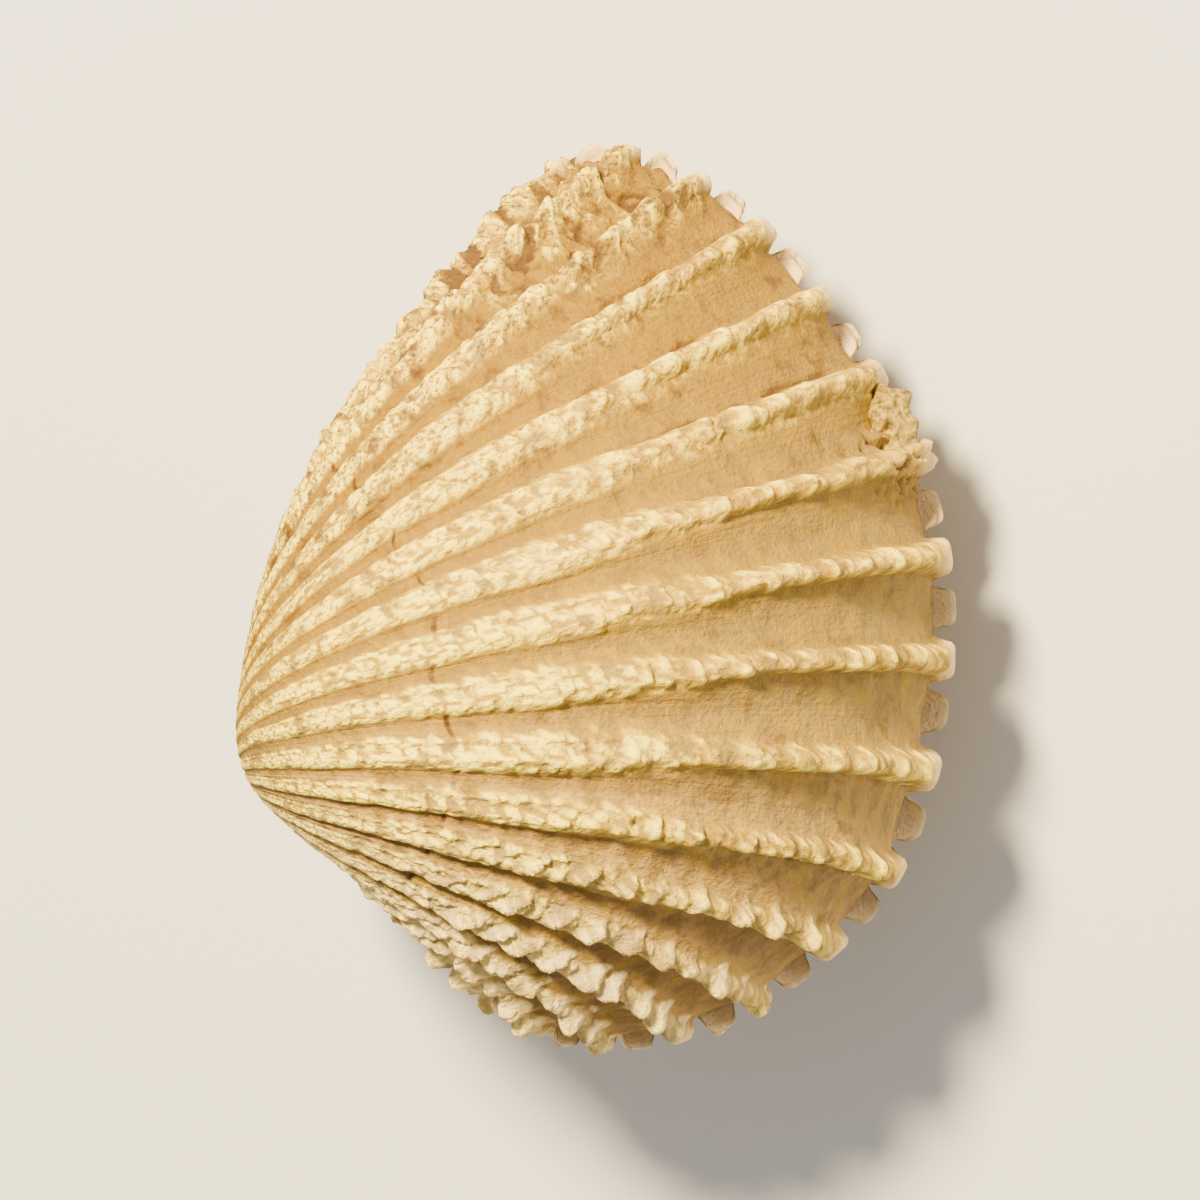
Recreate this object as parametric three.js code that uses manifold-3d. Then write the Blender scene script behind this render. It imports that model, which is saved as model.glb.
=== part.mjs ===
// A cardita: a small, thick, strongly ribbed sea shell. Its two valves are closed together, held by the
// dried ligament in the groove behind their beaks, and the pair lies on its right valve.
//
// Millimetres. In the growth frame, u runs from the hinge to the lower edge, v from the front end of the
// shell to its back end, and w from the plane where the valves meet out through the left valve.
// The origin is the pole of the growth spiral, next to the beaks.

import * as THREE from 'three';
import Module from 'manifold-3d';
import { mergeVertices } from 'three/addons/utils/BufferGeometryUtils.js';

// Outline [u, v] over the rib ends. Ribs are numbered 0 to 16 from the back end round the lower edge to
// the front end. The first nine points are the ends of the even ribs, and the last two are on the hinge.
const OUTLINE = [
  [8.5, 19.6], [13.6, 19.5], [17.75, 15.65], [20.95, 10.25], [21.9, 3.55], [20.1, -3.55],
  [15.55, -7.9], [10.2, -9.3], [5.8, -7.15], [1.5, -0.5], [1.6, 8.0],
];
const RIBS_PER_POINT = 2;
const LAST_RIB = 16;
const ROUND = OUTLINE.length * RIBS_PER_POINT; // once round the shell, counted in ribs

// Growth spiral: a shell of age angle phi is the edge shrunk and turned about the hinge.
const GROWTH_AT_EDGE = 0.33; // shrinking per radian at the edge
const GROWTH_AT_BEAK = 1.385;
const GROWTH_CHANGE = 0.97; // radians over which the one becomes the other
const LEAN_TO_HINGE = -0.191; // how far the back end leans over the hinge as it ages
const LEAN_TO_BACK = 0.08;
const BEAK_ANGLE = 2.55;

// Ribs, lumps and edge. Each rib is a cord on a low ramp. Widths and heights across the ribs are shares
// of the distance from one rib to the next.
const RIB_HEIGHT = 0.25;
const CORD_SHARE = 0.65; // of that height
const CORD_HALF_TOP = 0.1;
const CORD_HALF_FOOT = 0.28;
const STEEP_BETWEEN = [3.5, 6.5]; // ribs between which the side to the front end turns steep
const OLD_RIB_HEIGHT = 0.18;
const OLD_RIB_HALF_TOP = 0.24;
const RIBS_FADE = [0.3, 1.6]; // from where to where they fade past the last one, counted in ribs
const LUMP_HEIGHT = 0.36; // millimetres, at both ends of the shell
const LUMP_HEIGHT_MIDDLE = 0.14;
const LUMPS_LOW_FROM = [2, 5]; // counted in ribs
const LUMPS_HIGH_FROM = [9.5, 12.5];
const LUMP_SPACING = 0.125; // radians of growth
const LUMPS_END = 0.76;
const STOP_ANGLE = 1.0; // growth stopped here once, and left a line
const STOP_HALF = 0.06; // radians on each side over which the ribs change
const STOP_DEPTH = 0.12; // millimetres
const EDGE_WAVE = 0.125; // half the height of the edge's zigzag, also a share of that distance
const EDGE_WAVE_REACH = 0.16; // radians
const EDGE_GAP = 0.3;
const WALL = 1.0; // thickness under the valleys between ribs

// Groove for the ligament, behind the beaks, and the ligament in it
const GROOVE_MIDDLE = 19.8; // counted in ribs
const GROOVE_HALF = 1.5;
const GROOVE_WIDTH = 0.65; // out from the middle plane on each side
const GROOVE_REACH = 0.12;
const LIGAMENT_FROM = 19.2;
const LIGAMENT_TO = 20.35;
const LIGAMENT_STAND_OFF = 0.58;
const LIGAMENT_HALF_THICK = 0.26;
const LIGAMENT_HALF_WIDE = 0.42;

// How the pair lies: turned about the v axis and then about the u axis, in degrees. The ribs that it
// lies on are worn flat.
const REST_TURN_V = 21.5;
const REST_TURN_U = -8.8;
const WEAR = 0.25;

// Mesh
const COLUMNS_ON_RIB = [-0.5, -0.35, -0.15, 0, 0.15, 0.35]; // from its crest, the same in its gaps
const HINGE_COLUMNS = 6;
const LUMP_ROWS = 12;
const OLD_ROWS = [0.98, 1.04, 1.35, 1.7, 2.1, BEAK_ANGLE];
const INNER_ROWS = [0, 0.5, 1.15];

const { abs, cos, exp, hypot, max, min, pow, sin, PI } = Math;

function smoothstep(from, to, x) {
  const t = min(1, max(0, (x - from) / (to - from)));
  return t * t * (3 - 2 * t);
}

// Point of the outline at rib number r, by a closed Catmull-Rom curve.
function outlineAt(r) {
  const at = ((r % ROUND) + ROUND) % ROUND / RIBS_PER_POINT;
  const first = Math.floor(at);
  const t = at - first;
  const [a, b, c, d] = [-1, 0, 1, 2].map((k) => OUTLINE[(first + k + OUTLINE.length) % OUTLINE.length]);
  return [0, 1].map((k) => b[k] + 0.5 * t * (c[k] - a[k]
    + t * (2 * a[k] - 5 * b[k] + 4 * c[k] - d[k] + t * (3 * (b[k] - c[k]) + d[k] - a[k]))));
}

// Outward direction of the outline, and the distance from one rib to the next there.
function outwardAt(r) {
  const step = 0.05;
  const [u0, v0] = outlineAt(r - step);
  const [u1, v1] = outlineAt(r + step);
  const length = hypot(u1 - u0, v1 - v0);
  return { out: [-(v1 - v0) / length, (u1 - u0) / length], pitch: length / (2 * step) };
}

// 1 where the shell is ribbed, 0 along the hinge.
function ribbed(r) {
  const past = r > (ROUND + LAST_RIB) / 2 ? ROUND - r : r - LAST_RIB;
  return 1 - smoothstep(...RIBS_FADE, past);
}

function growthScale(phi) {
  const change = (GROWTH_AT_BEAK - GROWTH_AT_EDGE) * GROWTH_CHANGE * (1 - exp(-phi / GROWTH_CHANGE));
  return exp(change - GROWTH_AT_BEAK * phi);
}

// 0 on the young shell outside the growth stop, 1 on the old shell inside it.
function oldAt(phi) {
  return smoothstep(STOP_ANGLE - STOP_HALF, STOP_ANGLE + STOP_HALF, phi);
}

// Height of the surface at rib number r and age phi, from 0 in a valley to 1 on a rib. side is 1 for the
// left valve and -1 for the right one, whose ribs stand in the left one's valleys.
function ribProfile(side, r, phi) {
  const crest = side > 0 ? r : r - 0.5;
  const off = crest - Math.round(crest);
  const cord = 1 - smoothstep(CORD_HALF_TOP, CORD_HALF_FOOT, abs(off));
  const steep = off > 0 ? smoothstep(...STEEP_BETWEEN, r) : 0;
  const ramp = (1 - abs(off) / 0.5) * (1 - steep) + cord * steep;
  const young = CORD_SHARE * cord + (1 - CORD_SHARE) * ramp;
  const old = 1 - smoothstep(OLD_RIB_HALF_TOP, 0.5, abs(off));
  return young + (old - young) * oldAt(phi);
}

function lumpHeightAt(r) {
  const highness = 1 - smoothstep(...LUMPS_LOW_FROM, r) + smoothstep(...LUMPS_HIGH_FROM, r);
  return LUMP_HEIGHT_MIDDLE + (LUMP_HEIGHT - LUMP_HEIGHT_MIDDLE) * highness;
}

// How far the surface lies inside the outline, in the outline's own size.
function depthAt(side, r, phi, pitch) {
  const height = pitch * (RIB_HEIGHT + (OLD_RIB_HEIGHT - RIB_HEIGHT) * oldAt(phi));
  const profile = ribProfile(side, r, phi);
  const lump = 0.5 - 0.5 * cos(2 * PI * phi / LUMP_SPACING);
  const lumps = lumpHeightAt(r) * lump * pow(profile, 2) * (phi < LUMPS_END ? 1 : 0);
  return (height * (1 - profile) - lumps + STOP_DEPTH * oldAt(phi)) * ribbed(r);
}

// Point at rib number r and age phi, at a depth inside the outline.
function shellPoint(side, r, phi, depth) {
  const [u0, v0] = outlineAt(r);
  const { out, pitch } = outwardAt(r);
  const u = u0 - out[0] * depth;
  const v = v0 - out[1] * depth;
  const scale = growthScale(phi);
  const wave = EDGE_WAVE * pitch * cos(2 * PI * r) * ribbed(r) * exp(-phi / EDGE_WAVE_REACH);
  const inGroove = 1 - smoothstep(0.5, 1, abs(r - GROOVE_MIDDLE) / GROOVE_HALF);
  const groove = GROOVE_WIDTH * inGroove * (1 - exp(-phi / GROOVE_REACH)) * pow(scale, 0.5);
  return [
    scale * (u * cos(phi) + LEAN_TO_HINGE * v * sin(phi)),
    scale * (v + LEAN_TO_BACK * u * sin(phi)),
    side * (EDGE_GAP / 2 + scale * u * sin(phi) + groove) + wave,
  ];
}

// Columns of both valves. They are the same, so that the zigzag edges keep their gap.
function columns() {
  const from = COLUMNS_ON_RIB[0];
  const to = LAST_RIB + 1;
  const list = [];
  for (let i = 0; i <= to; i += 1) list.push(...COLUMNS_ON_RIB.map((off) => i + off));
  const onRibs = list.filter((r) => r < to);
  const step = (ROUND + from - to) / HINGE_COLUMNS;
  const onHinge = Array.from({ length: HINGE_COLUMNS }, (_, i) => to + i * step);
  return [...onRibs, ...onHinge].map((r) => (r + ROUND) % ROUND);
}

function geometryFrom(points, triangles, flip) {
  const geometry = new THREE.BufferGeometry();
  geometry.setAttribute('position', new THREE.Float32BufferAttribute(points.flat(), 3));
  const order = flip ? triangles.map(([a, b, c]) => [a, c, b]) : triangles;
  geometry.setIndex(order.flat());
  return geometry;
}

// One valve: rows of the outer face from the edge to the beak, then rows of the inner face.
function valveGeometry(side) {
  const around = columns();
  const count = around.length;
  const lumpRows = Array.from({ length: LUMP_ROWS + 1 }, (_, i) => i * LUMP_SPACING / 2);
  const outer = [...lumpRows, ...OLD_ROWS].map((phi) => around.map((r) => {
    const { pitch } = outwardAt(r);
    return shellPoint(side, r, phi, depthAt(side, r, phi, pitch));
  }));
  const inner = INNER_ROWS.map((phi) => around.map((r) => {
    const { pitch } = outwardAt(r);
    return shellPoint(side, r, phi, RIB_HEIGHT * pitch * ribbed(r) + WALL);
  }));
  const middle = (row) => [0, 1, 2].map((k) => row.reduce((sum, p) => sum + p[k], 0) / count);
  const points = [...outer.flat(), ...inner.flat(), middle(outer.at(-1)), middle(inner.at(-1))];
  const innerStart = outer.length * count;
  const beak = innerStart + inner.length * count;
  const cavity = beak + 1;
  const triangles = [];
  const quad = (a, b, c, d) => triangles.push([a, b, c], [a, c, d]);
  for (let j = 0; j < count; j += 1) {
    const k = (j + 1) % count;
    for (let i = 0; i + 1 < outer.length; i += 1) {
      quad(i * count + j, (i + 1) * count + j, (i + 1) * count + k, i * count + k);
    }
    for (let i = 0; i + 1 < inner.length; i += 1) {
      const row = innerStart + i * count;
      quad(row + j, row + k, row + count + k, row + count + j);
    }
    quad(j, k, innerStart + k, innerStart + j);
    const lastOuter = innerStart - count;
    const lastInner = beak - count;
    triangles.push([lastOuter + j, beak, lastOuter + k], [lastInner + j, lastInner + k, cavity]);
  }
  return geometryFrom(points, triangles, side < 0);
}

// The ligament: a ball drawn out along the hinge.
function ligamentGeometry() {
  const ball = new THREE.SphereGeometry(1, 10, 8);
  ball.deleteAttribute('normal');
  ball.deleteAttribute('uv');
  const geometry = mergeVertices(ball);
  const at = geometry.getAttribute('position');
  for (let i = 0; i < at.count; i += 1) {
    const along = (1 - at.getY(i)) / 2;
    const r = LIGAMENT_FROM + (LIGAMENT_TO - LIGAMENT_FROM) * along;
    const [u, v] = outlineAt(r);
    const { out } = outwardAt(r);
    const off = LIGAMENT_STAND_OFF + LIGAMENT_HALF_THICK * at.getX(i);
    at.setXYZ(i, u + out[0] * off, v + out[1] * off, LIGAMENT_HALF_WIDE * at.getZ(i));
  }
  return geometry;
}

const wasm = await Module();
wasm.setup();

function toSolid(geometry) {
  const vertProperties = new Float32Array(geometry.getAttribute('position').array);
  const triVerts = new Uint32Array(geometry.getIndex().array);
  return new wasm.Manifold(new wasm.Mesh({ numProp: 3, vertProperties, triVerts }));
}

function fromSolid(solid) {
  const { vertProperties, triVerts, numProp } = solid.getMesh();
  const geometry = new THREE.BufferGeometry();
  const points = new THREE.InterleavedBuffer(vertProperties, numProp);
  geometry.setAttribute('position', new THREE.InterleavedBufferAttribute(points, 3, 0));
  geometry.setIndex(new THREE.BufferAttribute(triVerts, 1));
  geometry.computeVertexNormals();
  return geometry;
}

// A closed box geometry with shared corners.
function boxGeometry(width, depth, height) {
  const box = new THREE.BoxGeometry(width, depth, height);
  box.deleteAttribute('normal');
  box.deleteAttribute('uv');
  return mergeVertices(box);
}

// Cuts off what lies lower than WEAR above the valve's lowest point, once the pair lies down.
function wornFlat(geometry, lying) {
  const lowest = new THREE.Box3().setFromBufferAttribute(
    geometry.clone().applyMatrix4(lying).getAttribute('position'),
  ).min.z;
  const size = 60;
  const below = boxGeometry(size, size, size);
  below.translate(0, 0, lowest + WEAR - size / 2);
  below.applyMatrix4(lying.clone().invert());
  return fromSolid(toSolid(geometry).subtract(toSolid(below)));
}

function piece(name, geometry, color, roughness) {
  const material = new THREE.MeshStandardMaterial({ color, roughness, metalness: 0 });
  const mesh = new THREE.Mesh(geometry, material);
  mesh.name = name;
  return mesh;
}

const shell = new THREE.Group();
shell.rotation.set(
  THREE.MathUtils.degToRad(REST_TURN_U),
  THREE.MathUtils.degToRad(REST_TURN_V),
  0,
);
shell.updateMatrix();
shell.add(
  piece('left_valve', valveGeometry(1), 0xe3c48e, 0.85),
  piece('right_valve', wornFlat(valveGeometry(-1), shell.matrix), 0xe0c190, 0.85),
  piece('ligament', ligamentGeometry(), 0x4a2f1a, 0.6),
);

// The origin is under the middle of the pair, on the surface that it lies on.
shell.updateMatrixWorld(true);
const bounds = new THREE.Box3().setFromObject(shell, true);
shell.position.set(-(bounds.min.x + bounds.max.x) / 2, -(bounds.min.y + bounds.max.y) / 2, -bounds.min.z);

const part = new THREE.Group();
part.add(shell);

export default part;
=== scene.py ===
# %% [markdown]
# A closed cardita, a small thick sea shell of two valves with strong, lumpy ribs. The solids give its
# size, its resting pose and the growth spiral. This notebook grows both valves again from the same
# spiral, with a surface fine enough to carry the lumps, scales, pits and growth lines of a real shell,
# and then colours, lights and frames the pair.

import bpy
import numpy as np
from mathutils import Matrix, Vector


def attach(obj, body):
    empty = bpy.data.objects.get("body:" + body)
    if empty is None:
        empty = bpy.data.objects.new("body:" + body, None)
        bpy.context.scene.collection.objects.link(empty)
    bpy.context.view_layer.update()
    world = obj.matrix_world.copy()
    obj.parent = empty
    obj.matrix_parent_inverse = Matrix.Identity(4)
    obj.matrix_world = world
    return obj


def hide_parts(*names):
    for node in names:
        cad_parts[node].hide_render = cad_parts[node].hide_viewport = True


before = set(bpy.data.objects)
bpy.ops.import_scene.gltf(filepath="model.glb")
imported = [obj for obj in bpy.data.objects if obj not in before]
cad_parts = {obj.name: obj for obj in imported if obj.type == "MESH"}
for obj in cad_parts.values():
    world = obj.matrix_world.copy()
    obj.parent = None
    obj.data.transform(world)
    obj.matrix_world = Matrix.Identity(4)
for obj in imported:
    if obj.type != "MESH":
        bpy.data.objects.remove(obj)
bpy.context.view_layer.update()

# %% [markdown]
# A shell grows only at its edge, so its whole outer face is that edge, smaller and turned further about
# the hinge for every step back in age. Two numbers place a point on it: the rib number r, which goes
# once round the edge, and the age phi, an angle that is 0 at the edge and largest at the beak. Lengths
# are in millimetres: u runs from the hinge to the toothed edge, v to the back end of the shell, and w
# out of the plane where the valves meet, through the left valve.

# %% Outline of the edge
OUTLINE = np.array([
    [8.5, 19.6], [13.6, 19.5], [17.75, 15.65], [20.95, 10.25], [21.9, 3.55], [20.1, -3.55],
    [15.55, -7.9], [10.2, -9.3], [5.8, -7.15], [1.5, -0.5], [1.6, 8.0],
])
RIBS_PER_POINT = 2
LAST_RIB = 16
ROUND = len(OUTLINE) * RIBS_PER_POINT
MM = 0.001


def outline_at(r):
    """Point of the edge at rib number r, on a closed Catmull-Rom curve."""
    at = np.mod(r, ROUND) / RIBS_PER_POINT
    first = np.floor(at).astype(int)
    t = (at - first)[..., None]
    a, b, c, d = (OUTLINE[(first + k) % len(OUTLINE)] for k in (-1, 0, 1, 2))
    return b + 0.5 * t * (c - a + t * (2 * a - 5 * b + 4 * c - d + t * (3 * (b - c) + d - a)))


def outward_at(r, step=0.05):
    """Outward direction of the edge, and the distance from one rib to the next there."""
    run = outline_at(r + step) - outline_at(r - step)
    length = np.linalg.norm(run, axis=-1)
    return np.stack([-run[..., 1], run[..., 0]], -1) / length[..., None], length / (2 * step)


print("ribs:", LAST_RIB + 1, "mm between the middle ribs:", outward_at(np.array([8.0]))[1].round(2))

# %% Growth spiral
GROWTH_AT_EDGE = 0.33
GROWTH_AT_BEAK = 1.385
GROWTH_CHANGE = 0.97
LEAN_TO_HINGE = -0.191
LEAN_TO_BACK = 0.08
BEAK_ANGLE = 2.55


def smoothstep(low, high, x):
    t = np.clip((x - low) / (high - low), 0, 1)
    return t * t * (3 - 2 * t)


def growth_scale(phi):
    """Size of the shell back at age phi, as a share of its size now."""
    change = (GROWTH_AT_BEAK - GROWTH_AT_EDGE) * GROWTH_CHANGE * (1 - np.exp(-phi / GROWTH_CHANGE))
    return np.exp(change - GROWTH_AT_BEAK * phi)


def spiral(uv, phi):
    """Where a point of the edge's plane was at age phi."""
    scale = growth_scale(phi)
    u, v = uv[..., 0], uv[..., 1]
    return np.stack([
        scale * (u * np.cos(phi) + LEAN_TO_HINGE * v * np.sin(phi)),
        scale * (v + LEAN_TO_BACK * u * np.sin(phi)),
        scale * u * np.sin(phi),
    ], -1)


print("size left at the beak:", growth_scale(BEAK_ANGLE).round(3))

# %% [markdown]
# Nothing on a real shell is quite even, so the ribs wander a little and no two lumps are alike. A small
# value noise, a lattice of fixed random numbers blended smoothly, gives that unevenness. It is written
# here instead of being taken from a modifier so that its grain has a real size in millimetres, and its
# seeds are fixed so that every run grows the same shell.

# %% Seeded noise
LATTICE = 64


def lattice(seed):
    return np.random.default_rng(seed).uniform(-1, 1, (LATTICE, LATTICE, LATTICE))


LATTICES = [lattice(seed) for seed in (3, 7, 19)]


def rough(points, grain, which=0):
    """Smooth noise from -1 to 1 at points in mm, with bumps about as wide as the grain."""
    at = points / grain
    cell = np.floor(at).astype(int)
    t = at - cell
    t = t * t * (3 - 2 * t)
    total = 0
    for corner in np.ndindex(2, 2, 2):
        weight = np.prod(np.where(np.array(corner) == 1, t, 1 - t), -1)
        x, y, z = np.moveaxis((cell + corner) % LATTICE, -1, 0)
        total = total + weight * LATTICES[which][x, y, z]
    return total


print("noise check:", rough(np.array([[0.3, 0.7, 1.9]]), 0.5).round(3))

# %% [markdown]
# Ribs. Outside the growth stop each rib is a narrow cord on a low ramp. Inside it, where the shell was
# younger, the ribs are broad and flat, so the cord widens with age until it is a plateau. The ramp is
# steep on one side only: on the front side from the middle of the shell to its front end, with a fine
# thread at its foot, and on the other side at the back end. The steep face is what draws a thin dark
# line along each crest. Heights are shares of the distance between ribs, so the small ribs at both ends
# come out lower by themselves. The right valve's ribs stand in the left one's gaps, half a step on.

# %% Place of a point among the ribs
RIBS_FADE = (0.3, 1.6)
OLD_BLEND = (0.3, 0.9)
STOP_ANGLE = 1.0


def from_back(r):
    """Rib number counted from the back end, so that it is below 0 on the hinge behind rib 0."""
    return np.where(r > (ROUND + LAST_RIB) / 2, r - ROUND, r)


def ribbed(r):
    """1 where the shell is ribbed, 0 along the hinge."""
    place = from_back(np.mod(r, ROUND))
    return 1 - smoothstep(*RIBS_FADE, np.maximum(-place, place - LAST_RIB))


def old_at(phi):
    """0 on the young shell, 1 on the old shell inside the growth stop."""
    return smoothstep(*OLD_BLEND, phi)


def rib_offset(side, r, wander):
    """Rib that a point belongs to, and how far off its crest it is, in steps between ribs."""
    crest = r - (0 if side > 0 else 0.5) + wander
    number = np.round(crest)
    return number, crest - number


print("rib and offset at 7.8:", rib_offset(1, np.array(7.8), 0))

# %% Rib profile
CORD_HALF = 0.14
CORD_HALF_AT_EDGE = 0.21
CORD_SQUARE = 2.6
CORD_SQUARE_AT_EDGE = 6.0
CORD_FLAT_TOP = 0.55
RIB_END = 0.035
CORD_SHARE = 0.6
CORD_SHARE_AT_BACK = 0.4
STEEP_BETWEEN = (5.0, 7.0)
STEEP_FACE = (0.06, 0.19)
GENTLE_FACE = 1.2
SAW_LENGTH = 0.8
THREAD_BETWEEN = (4, 6)
OLD_FACE = (0.25, 0.43)
OLD_PLATEAU = 0.68
OLD_TILT = 1.0
# Fine rows: place and width in steps between ribs, and height as a share of the rib's.
THREAD = (0.215, 0.028, 0.09)
OLD_CREST = (0.12, 0.09, 0.3)
OLD_FINE_ROW = (-0.19, 0.05, 0.2)


def row(off, place, width, height):
    """A fine row beside a crest, at a place in steps between ribs."""
    return height * np.exp(-((off - place) / width) ** 2)


def cord_profile(far, at_end, broad):
    """The narrow cord on a rib, wider at the edge, where its end is square, and wider with age."""
    half = CORD_HALF + (CORD_HALF_AT_EDGE - CORD_HALF) * at_end + (OLD_FACE[0] - CORD_HALF) * broad
    square = CORD_SQUARE + (CORD_SQUARE_AT_EDGE - CORD_SQUARE) * at_end
    return np.clip(1 - (far / half) ** square, 0, 1) ** CORD_FLAT_TOP


def ramp_profile(off, far, broad, front_end):
    """The ramp under the cord, steep on its front side or, at the back end, on its other side."""
    top, foot = (young + (old - young) * broad for young, old in zip(STEEP_FACE, OLD_FACE))
    face = 1 - smoothstep(top, foot, far)
    in_front = np.where(off > 0, face, (1 - 2 * far) ** GENTLE_FACE)
    behind = np.maximum(np.where(off < 0, face, 0), np.clip(1 - np.mod(off, 1) / SAW_LENGTH, 0, 1))
    return behind + (in_front - behind) * front_end


def rib_profile(r, off, phi):
    """0 in a gap between ribs, 1 on a crest."""
    far = np.abs(off)
    broad = old_at(phi)
    at_end = np.exp(-np.maximum(phi, 0) / RIB_END)
    front_end = smoothstep(*STEEP_BETWEEN, from_back(r))
    cord = cord_profile(far, at_end, broad)
    ramp = ramp_profile(off, far, broad, front_end)
    ramp = ramp + (cord - ramp) * at_end
    share = CORD_SHARE_AT_BACK + (CORD_SHARE - CORD_SHARE_AT_BACK) * front_end
    thread = row(off, *THREAD) * smoothstep(*THREAD_BETWEEN, from_back(r))
    young = share * cord + (1 - share) * ramp + thread
    old = OLD_PLATEAU * (1 - smoothstep(*OLD_FACE, far)) * (1 + OLD_TILT * off)
    old = old + row(off, *OLD_CREST) + row(off, *OLD_FINE_ROW)
    return young + (old - young) * broad


print("profile across a middle rib:", rib_profile(8.0, np.linspace(-0.5, 0.5, 11), 0.3).round(2))

# %% [markdown]
# Lumps. Each time the animal paused it left a raised bar across every rib. On the middle ribs the bars
# are low and square. Towards the back end they are irregular knobs and broad lumps. Towards the front
# end they stand up as blunt fingers, and on the last four ribs as round beads, closer together. They
# are real relief and not a bump map, because they notch the silhouette. A table of random strengths and
# shifts makes each one different.

# %% Lumps, bars, fingers and beads
LUMP_STEP = 1.65
LUMP_STEP_AT_FRONT = 1.15
STEP_SHORTENS = (10.5, 13.5)
LUMP_KINDS = {
    #          rib   height  half length along growth, half width across the rib
    "lump": (0.0, 0.36, 0.5, 0.3),
    "knob": (3.0, 0.22, 0.32, 0.18),
    "bar": (5.5, 0.17, 0.2, 0.15),
    "low bar": (9.0, 0.2, 0.18, 0.16),
    "finger": (11.5, 0.45, 0.17, 0.19),
    "bead": (14.0, 0.6, 0.26, 0.3),
}
ROUND_LUMP, SQUARE_LUMP = 2.4, 4.0
ROUND_SIDE, SQUARE_SIDE = 2.6, 5.0
SQUARE_FROM = (1.5, 4)
ROUND_FROM = (14, 11)
ROW_SHIFT = (0.37, 1.7)
SMOOTH_EDGE = (0.024, 0.056)
LUMPS_FADE = (0.84, 1.08)
WORN_AWAY = 0.85
MOST_LUMPS = 64
STRENGTH = np.random.default_rng(11).uniform(0.45, 1.25, (ROUND + 2, MOST_LUMPS))
SHIFT = np.random.default_rng(12).uniform(-0.2, 0.2, (ROUND + 2, MOST_LUMPS))


def growth_speed(r, phi=0.2, step=0.01):
    """Millimetres of shell per radian of growth."""
    ahead = spiral(outline_at(r), phi + step)
    return np.linalg.norm(ahead - spiral(outline_at(r), phi - step), axis=-1) / (2 * step)


def lump_relief(number, off, r, phi):
    """Height of the lumps in mm."""
    step = np.interp(number, STEP_SHORTENS, (LUMP_STEP, LUMP_STEP_AT_FRONT))
    count = phi * growth_speed(r) / step + ROW_SHIFT[0] * np.sin(ROW_SHIFT[1] * number)
    rib = np.mod(number, ROUND).astype(int)
    which = np.clip(np.round(count), 0, MOST_LUMPS - 2).astype(int)
    apart = (count - which - SHIFT[rib, which]) * step
    kinds = np.array(list(LUMP_KINDS.values())).T
    place = from_back(r)
    height, half_long, half_wide = (np.interp(place, kinds[0], values) for values in kinds[1:])
    not_beads = smoothstep(*ROUND_FROM, place)
    squared = smoothstep(*SQUARE_FROM, place) * not_beads
    along = np.exp(-np.abs(apart / half_long) ** (ROUND_LUMP + (SQUARE_LUMP - ROUND_LUMP) * squared))
    across = np.exp(-np.abs(off / half_wide) ** (ROUND_SIDE + (SQUARE_SIDE - ROUND_SIDE) * not_beads))
    fresh = smoothstep(*SMOOTH_EDGE, phi)
    worn = 1 - WORN_AWAY * smoothstep(*LUMPS_FADE, phi)
    return height * along * across * fresh * worn * STRENGTH[rib, which]


print("mm of shell per radian at a middle rib:", growth_speed(np.array([8.0])).round(1))

# %% [markdown]
# The edge is a zigzag, each valve's ribs arching over the other's gaps. Behind the beaks the valves part
# a little to leave the groove for the ligament. Both are shifts out of the plane where the valves meet,
# so they are made here, in the function that places every point, and relief is added as depth.

# %% Place of a point on a valve
EDGE_WAVE = 0.125
EDGE_WAVE_REACH = 0.16
EDGE_GAP = 0.3
EDGE_LEFT_OPEN = 0.06
EDGE_CLOSES = 0.03
GROOVE_MIDDLE = 19.8
GROOVE_HALF = 1.5
GROOVE_WIDTH = 0.65
GROOVE_REACH = 0.12


def shell_point(side, r, phi, depth):
    """Points in the growth frame at a depth in mm inside the outline."""
    out, pitch = outward_at(r)
    point = spiral(outline_at(r) - out * depth[..., None], phi)
    near_edge = np.exp(-phi / EDGE_WAVE_REACH)
    wave = EDGE_WAVE * pitch * np.cos(2 * np.pi * r) * ribbed(r) * near_edge
    half_gap = (EDGE_GAP + (EDGE_LEFT_OPEN - EDGE_GAP) * np.exp(-phi / EDGE_CLOSES)) / 2
    groove = 1 - smoothstep(0.5, 1, np.abs(r - GROOVE_MIDDLE) / GROOVE_HALF)
    groove = GROOVE_WIDTH * groove * (1 - np.exp(-phi / GROOVE_REACH)) * growth_scale(phi) ** 0.5
    point[..., 2] = side * (half_gap + point[..., 2] + groove) + wave
    return point


print("edge at a middle rib:", shell_point(1, np.array([8.0]), np.array([0.0]), np.zeros(1)).round(1))

# %% [markdown]
# Weathering. Sea and sand have worn the crests into grains of about a quarter of a millimetre, which the
# older part shows more. Each spell of growth left a fine bar across the ribs, and the long stop left a
# crack and a step. At the back end boring animals left nodules and small hollows. Each mark is its own
# small function of place, in millimetres of relief or as a number from 0 to 1, so it can be changed
# without touching the others.

# %% Grains, bars, hollows and crust
BRIGHTEST = 1.2
GRAIN_SIZES = (0.3, 0.2, 0.7)
FINER_GRAINS, GRAIN_PATCHES = 0.8, 0.15
BARS_PER_RADIAN = 50
BARS_PER_RIB = 1.7
PIT_SIZES = (0.55, 0.25)
PIT_RIBS, PIT_AGES = (3.0, 1.4), ((0.02, 0.06), (0.7, 0.4))
PIT_FROM = (0.22, 0.42)
FINER_PITS = 0.4
CRUST_RIB = 6.0
CRUST_REACH, CRUST_AGE = (0.5, 0.3), (0.17, 0.1)
CLOD_SIZES = (0.5, 0.25)
FINER_CLODS, CLODS_SUNK = 0.5, 0.15
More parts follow.
